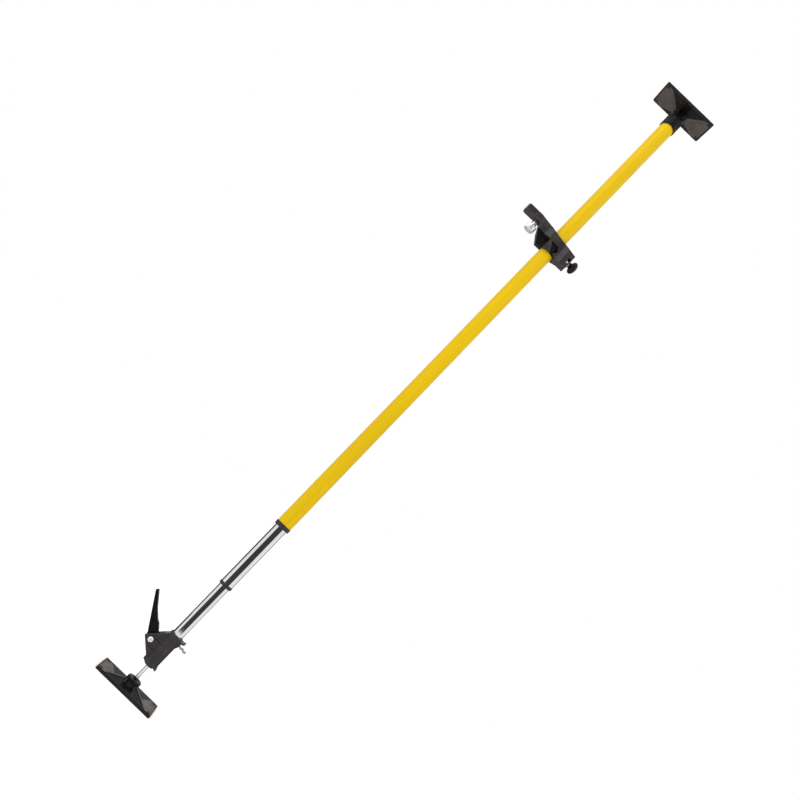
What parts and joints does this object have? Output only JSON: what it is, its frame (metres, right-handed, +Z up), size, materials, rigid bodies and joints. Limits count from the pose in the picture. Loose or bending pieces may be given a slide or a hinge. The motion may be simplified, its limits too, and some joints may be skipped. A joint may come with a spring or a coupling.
{
  "type": "telescoping support pole",
  "caption": "Telescoping floor-to-ceiling support pole with a squeeze-lever jack, tilting end pads and a clamp-on instrument bracket.",
  "frame": {"origin": "centre of the floor sole's bottom face, on the pole's axis", "axes": "+Z up the pole, +X towards the clamp knob and the release plate, -X towards the lever and the instrument platform"},
  "size_m": [0.1559, 0.07, 1.534],
  "materials": {
    "black_plastic": "moulded, fine texture, semi-matt",
    "black_rubber": "matt",
    "yellow_paint": "satin",
    "chrome_tube": "polished",
    "zinc": "zinc plated",
    "steel": "plain",
    "black_steel": "blackened",
    "nylon": "natural nylon",
    "chrome_knob": "polished, scalloped rim"
  },
  "bodies": {
    "foot": {"foot_sole": "black_rubber", "foot_plate": "black_plastic", "foot_screw_1": "black_steel", "foot_screw_2": "black_steel", "foot_screw_3": "black_steel", "foot_screw_4": "black_steel", "foot_socket": "black_plastic", "foot_cap": "black_plastic"},
    "ball": {"rod_ball": "black_steel"},
    "rod": {"jack_rod": "chrome_tube", "rod_stop": "steel"},
    "jack": {"jack_shell_front": "black_plastic", "jack_shell_rear": "black_plastic", "shell_screw_1": "zinc", "shell_screw_2": "zinc", "rod_bush": "nylon", "tube_plug": "nylon", "lever_screw": "zinc", "lever_nut": "zinc", "drive_spring": "steel", "release_spring": "steel", "lower_tube": "chrome_tube", "lower_lock_stud": "nylon"},
    "lever": {"squeeze_lever": "black_plastic"},
    "drive_plate": {"drive_plate": "steel"},
    "release_plate": {"release_plate": "zinc"},
    "lower_plug": {"lower_lock_plug": "nylon"},
    "middle": {"middle_tube": "chrome_tube", "middle_collar": "black_plastic", "middle_lock_stud": "nylon"},
    "upper_plug": {"middle_lock_plug": "nylon"},
    "outer": {"outer_tube": "yellow_paint", "outer_collar": "black_plastic", "top_collar": "black_plastic", "top_hinge_pin": "steel"},
    "bracket": {"bracket_body": "black_plastic", "clamp_nut": "zinc", "platform_pad": "black_rubber"},
    "clamp_carriage": {"clamp_washer": "zinc", "clamp_shoe": "black_rubber"},
    "clamp_knob": {"clamp_knob": "black_plastic", "clamp_screw": "zinc"},
    "laser_clip": {"laser_clip": "steel"},
    "laser_knob": {"laser_knob": "chrome_knob", "laser_screw": "zinc"},
    "top_pad": {"top_plate": "black_plastic", "top_sole": "black_rubber", "top_screw_1": "black_steel", "top_screw_2": "black_steel", "top_screw_3": "black_steel", "top_screw_4": "black_steel"}
  },
  "joints": [
    {"name": "foot_tilt", "type": "hinge", "parent": "foot", "child": "ball", "pos_m": [0, 0, 0.0145], "axis": [1, 0, 0], "range_deg": [-20, 20]},
    {"name": "rod_turn", "type": "hinge", "parent": "ball", "child": "rod", "pos_m": [0, 0, 0.0145], "axis": [0, 0, 1], "continuous": true},
    {"name": "jack_extend", "type": "slide", "parent": "rod", "child": "jack", "axis": [0, 0, 1], "range_m": [-0.026, 0.1]},
    {"name": "lever_squeeze", "type": "hinge", "parent": "jack", "child": "lever", "pos_m": [-0.0287, 0, 0.0886], "axis": [0, 1, 0], "range_deg": [0, 24], "stiffness_Nm_per_rad": 1, "springref_deg": -17.19},
    {"name": "drive_plate_push", "type": "slide", "parent": "jack", "child": "drive_plate", "axis": [0, 0, 1], "range_m": [-0.0083, 0], "deforming": ["drive_spring"]},
    {"name": "release_tilt", "type": "hinge", "parent": "jack", "child": "release_plate", "pos_m": [-0.009, 0, 0.1136], "axis": [0, -1, 0], "range_deg": [0, 5], "stiffness_Nm_per_rad": 0.5, "springref_deg": -11.46, "deforming": ["release_spring"]},
    {"name": "lower_lock_twist", "type": "hinge", "parent": "jack", "child": "lower_plug", "pos_m": [0, 0, 1.1], "axis": [0, 0, 1], "range_deg": [0, 180]},
    {"name": "lower_section_slide", "type": "slide", "parent": "lower_plug", "child": "middle", "axis": [0, 0, 1], "range_m": [-0.11, 0.78]},
    {"name": "upper_lock_twist", "type": "hinge", "parent": "middle", "child": "upper_plug", "pos_m": [0, 0, 1.3], "axis": [0, 0, 1], "range_deg": [0, 180]},
    {"name": "upper_section_slide", "type": "slide", "parent": "upper_plug", "child": "outer", "axis": [0, 0, 1], "range_m": [-0.13, 0.83]},
    {"name": "bracket_slide", "type": "slide", "parent": "outer", "child": "bracket", "axis": [0, 0, 1], "range_m": [-0.695, 0.31]},
    {"name": "clamp_advance", "type": "slide", "parent": "bracket", "child": "clamp_carriage", "axis": [1, 0, 0], "range_m": [0, 0.0025]},
    {"name": "clamp_turn", "type": "hinge", "parent": "clamp_carriage", "child": "clamp_knob", "pos_m": [0.055, 0, 1.123], "axis": [1, 0, 0], "range_deg": [0, 720.5]},
    {"name": "laser_lift", "type": "slide", "parent": "bracket", "child": "laser_clip", "axis": [0, 0, 1], "range_m": [0, 0.004]},
    {"name": "laser_turn", "type": "hinge", "parent": "laser_clip", "child": "laser_knob", "pos_m": [-0.0576, 0, 1.122], "axis": [0, 0, 1], "continuous": true},
    {"name": "top_tilt", "type": "hinge", "parent": "outer", "child": "top_pad", "pos_m": [0, 0, 1.5225], "axis": [1, 0, 0], "range_deg": [-25, 25]}
  ],
  "couplings": [
    {"joint": "lever_squeeze", "follows": "drive_plate_push", "rad_per_m": -50.367},
    {"joint": "clamp_turn", "follows": "clamp_advance", "rad_per_m": 5026.5}
  ]
}
